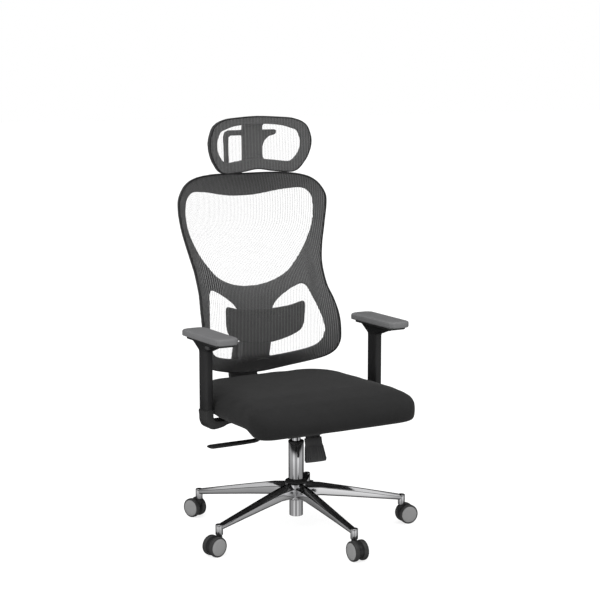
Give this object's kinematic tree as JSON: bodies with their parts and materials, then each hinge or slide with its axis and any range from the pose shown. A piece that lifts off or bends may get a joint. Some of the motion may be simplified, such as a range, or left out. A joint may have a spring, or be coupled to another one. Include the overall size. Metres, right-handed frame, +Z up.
{
  "type": "swivel office chair",
  "caption": "High-back swivel office chair with a mesh back, headrest, sliding arms, foam seat, tilt mechanism and gas lift on a chromed star base with twin-wheel casters.",
  "frame": {"origin": "on the floor, under the middle of the box round the chair, 6.5 mm behind the axis of the column", "axes": "+Z up, -Y the way the sitter faces, +X the sitter's left"},
  "size_m": [0.749, 0.7907, 1.276],
  "materials": {
    "chrome": "polished chromed steel and die casting",
    "steel": "plain machined and drawn steel",
    "black_steel": "black powder coat, fine texture",
    "black_plastic": "moulded black nylon, fine grain",
    "caster_tread": "black wheel with a grey cap",
    "arm_pad": "soft moulded polyurethane, fine grain",
    "seat_fabric": "black woven polyester over foam",
    "mesh_fabric": "open woven mesh in grey and black thread"
  },
  "bodies": {
    "base": {"star_base": "chrome", "column_tube": "chrome", "column_bush": "black_plastic"},
    "lift_rod": {"piston_rod": "steel"},
    "lift": {"gas_cylinder": "chrome", "tilt_housing": "black_steel", "tilt_axle": "steel", "tilt_spring": "steel"},
    "release_pin": {"release_pin": "steel"},
    "lever_cam": {"lever_cam": "black_steel"},
    "height_lever": {"height_lever": "black_plastic"},
    "tension_bolt": {"tension_bolt": "steel"},
    "tension_knob": {"tension_knob": "black_plastic"},
    "seat": {"tilt_plate": "black_steel", "seat_pan": "black_plastic", "seat_cushion": "seat_fabric", "arm_bracket_left": "black_steel", "arm_bracket_right": "black_steel", "back_bracket": "black_steel", "back_frame": "black_plastic", "back_mesh": "mesh_fabric"},
    "lumbar": {"lumbar_slider": "black_plastic", "lumbar_pad": "black_plastic"},
    "headrest_post": {"headrest_post": "black_plastic"},
    "headrest": {"headrest_frame": "black_plastic", "headrest_mesh": "mesh_fabric", "headrest_pin": "steel"},
    "arm_left": {"arm_sleeve_left": "black_plastic"},
    "arm_button_left": {"arm_button_left": "black_plastic"},
    "arm_pad_left": {"arm_pad_plate_left": "black_plastic", "arm_pad_left": "arm_pad"},
    "arm_right": {"arm_sleeve_right": "black_plastic"},
    "arm_button_right": {"arm_button_right": "black_plastic"},
    "arm_pad_right": {"arm_pad_plate_right": "black_plastic", "arm_pad_right": "arm_pad"},
    "caster_1": {"caster_stem_1": "steel", "caster_hood_1": "black_plastic", "caster_axle_1": "steel"},
    "wheel_left_1": {"caster_wheel_left_1": "caster_tread"},
    "wheel_right_1": {"caster_wheel_right_1": "caster_tread"},
    "caster_2": {"caster_stem_2": "steel", "caster_hood_2": "black_plastic", "caster_axle_2": "steel"},
    "wheel_left_2": {"caster_wheel_left_2": "caster_tread"},
    "wheel_right_2": {"caster_wheel_right_2": "caster_tread"},
    "caster_3": {"caster_stem_3": "steel", "caster_hood_3": "black_plastic", "caster_axle_3": "steel"},
    "wheel_left_3": {"caster_wheel_left_3": "caster_tread"},
    "wheel_right_3": {"caster_wheel_right_3": "caster_tread"},
    "caster_4": {"caster_stem_4": "steel", "caster_hood_4": "black_plastic", "caster_axle_4": "steel"},
    "wheel_left_4": {"caster_wheel_left_4": "caster_tread"},
    "wheel_right_4": {"caster_wheel_right_4": "caster_tread"},
    "caster_5": {"caster_stem_5": "steel", "caster_hood_5": "black_plastic", "caster_axle_5": "steel"},
    "wheel_left_5": {"caster_wheel_left_5": "caster_tread"},
    "wheel_right_5": {"caster_wheel_right_5": "caster_tread"}
  },
  "joints": [
    {"name": "seat_swivel", "type": "hinge", "parent": "base", "child": "lift_rod", "pos_m": [0, -0.0065, 0.2], "axis": [0, 0, 1], "continuous": true},
    {"name": "seat_height", "type": "slide", "parent": "lift_rod", "child": "lift", "axis": [0, 0, 1], "range_m": [0, 0.1]},
    {"name": "tilt", "type": "hinge", "parent": "lift", "child": "seat", "pos_m": [0, -0.0565, 0.345], "axis": [-1, 0, 0], "range_deg": [0, 15], "stiffness_Nm_per_rad": 60, "springref_deg": -20.05},
    {"name": "lever_lift", "type": "hinge", "parent": "lift", "child": "lever_cam", "pos_m": [-0.056, -0.0065, 0.338], "axis": [0, 1, 0], "range_deg": [0, 6], "stiffness_Nm_per_rad": 3, "springref_deg": -5.73},
    {"name": "lever_pull", "type": "slide", "parent": "lever_cam", "child": "height_lever", "axis": [-1, 0, 0], "range_m": [0, 0.015]},
    {"name": "pin_press", "type": "slide", "parent": "lift", "child": "release_pin", "axis": [0, 0, -1], "range_m": [0, 0.0062]},
    {"name": "bolt_lift", "type": "slide", "parent": "lift", "child": "tension_bolt", "axis": [0, 0.2419, 0.9703], "range_m": [0, 0.0107], "deforming": ["tilt_spring"]},
    {"name": "tension_turn", "type": "hinge", "parent": "tension_bolt", "child": "tension_knob", "pos_m": [0, -0.1255, 0.244], "axis": [0, 0.2419, 0.9703], "continuous": true},
    {"name": "lumbar_height", "type": "slide", "parent": "seat", "child": "lumbar", "axis": [0, 0, 1], "range_m": [-0.02, 0.02]},
    {"name": "headrest_height", "type": "slide", "parent": "seat", "child": "headrest_post", "axis": [0, 0, 1], "range_m": [0, 0.04]},
    {"name": "headrest_tilt", "type": "hinge", "parent": "headrest_post", "child": "headrest", "pos_m": [0, 0.2965, 1.122], "axis": [1, 0, 0], "range_deg": [-20, 20]},
    {"name": "arm_height_left", "type": "slide", "parent": "seat", "child": "arm_left", "axis": [0, 0, 1], "range_m": [0, 0.07]},
    {"name": "arm_button_press_left", "type": "slide", "parent": "arm_left", "child": "arm_button_left", "axis": [-1, 0, 0], "range_m": [0, 0.003], "stiffness_N_per_m": 300, "springref_m": -0.002},
    {"name": "arm_pad_slide_left", "type": "slide", "parent": "arm_left", "child": "arm_pad_left", "axis": [0, 1, 0], "range_m": [-0.025, 0.025]},
    {"name": "arm_height_right", "type": "slide", "parent": "seat", "child": "arm_right", "axis": [0, 0, 1], "range_m": [0, 0.07]},
    {"name": "arm_button_press_right", "type": "slide", "parent": "arm_right", "child": "arm_button_right", "axis": [1, 0, 0], "range_m": [0, 0.003], "stiffness_N_per_m": 300, "springref_m": -0.002},
    {"name": "arm_pad_slide_right", "type": "slide", "parent": "arm_right", "child": "arm_pad_right", "axis": [0, 1, 0], "range_m": [-0.025, 0.025]},
    {"name": "caster_swivel_1", "type": "hinge", "parent": "base", "child": "caster_1", "pos_m": [0.20081, 0.26787, 0.06], "axis": [0, 0, 1], "continuous": true},
    {"name": "caster_swivel_2", "type": "hinge", "parent": "base", "child": "caster_2", "pos_m": [-0.19889, 0.26926, 0.06], "axis": [0, 0, 1], "continuous": true},
    {"name": "caster_swivel_3", "type": "hinge", "parent": "base", "child": "caster_3", "pos_m": [-0.32372, -0.11044, 0.06], "axis": [0, 0, 1], "continuous": true},
    {"name": "caster_swivel_4", "type": "hinge", "parent": "base", "child": "caster_4", "pos_m": [-0.00119, -0.3465, 0.06], "axis": [0, 0, 1], "continuous": true},
    {"name": "caster_swivel_5", "type": "hinge", "parent": "base", "child": "caster_5", "pos_m": [0.32299, -0.11269, 0.06], "axis": [0, 0, 1], "continuous": true},
    {"name": "wheel_roll_left_1", "type": "hinge", "parent": "caster_1", "child": "wheel_left_1", "pos_m": [0.20981, 0.28346, 0.0305], "axis": [-0.866, 0.5, 0], "continuous": true},
    {"name": "wheel_roll_right_1", "type": "hinge", "parent": "caster_1", "child": "wheel_right_1", "pos_m": [0.20981, 0.28346, 0.0305], "axis": [-0.866, 0.5, 0], "continuous": true},
    {"name": "wheel_roll_left_2", "type": "hinge", "parent": "caster_2", "child": "wheel_left_2", "pos_m": [-0.20551, 0.286, 0.0305], "axis": [-0.9298, -0.3681, 0], "continuous": true},
    {"name": "wheel_roll_right_2", "type": "hinge", "parent": "caster_2", "child": "wheel_right_2", "pos_m": [-0.20551, 0.286, 0.0305], "axis": [-0.9298, -0.3681, 0], "continuous": true},
    {"name": "wheel_roll_left_3", "type": "hinge", "parent": "caster_3", "child": "wheel_left_3", "pos_m": [-0.34136, -0.11406, 0.0305], "axis": [0.2011, -0.9796, 0], "continuous": true},
    {"name": "wheel_roll_right_3", "type": "hinge", "parent": "caster_3", "child": "wheel_right_3", "pos_m": [-0.34136, -0.11406, 0.0305], "axis": [0.2011, -0.9796, 0], "continuous": true},
    {"name": "wheel_roll_left_4", "type": "hinge", "parent": "caster_4", "child": "wheel_left_4", "pos_m": [-0.001, -0.3645, 0.0305], "axis": [0.9999, 0.0105, 0], "continuous": true},
    {"name": "wheel_roll_right_4", "type": "hinge", "parent": "caster_4", "child": "wheel_right_4", "pos_m": [-0.001, -0.3645, 0.0305], "axis": [0.9999, 0.0105, 0], "continuous": true},
    {"name": "wheel_roll_left_5", "type": "hinge", "parent": "caster_5", "child": "wheel_left_5", "pos_m": [0.34084, -0.11501, 0.0305], "axis": [0.1288, 0.9917, 0], "continuous": true},
    {"name": "wheel_roll_right_5", "type": "hinge", "parent": "caster_5", "child": "wheel_right_5", "pos_m": [0.34084, -0.11501, 0.0305], "axis": [0.1288, 0.9917, 0], "continuous": true}
  ],
  "couplings": [
    {"joint": "pin_press", "follows": "lever_lift", "m_per_rad": 0.058},
    {"joint": "bolt_lift", "follows": "tilt", "m_per_rad": 0.0405}
  ]
}
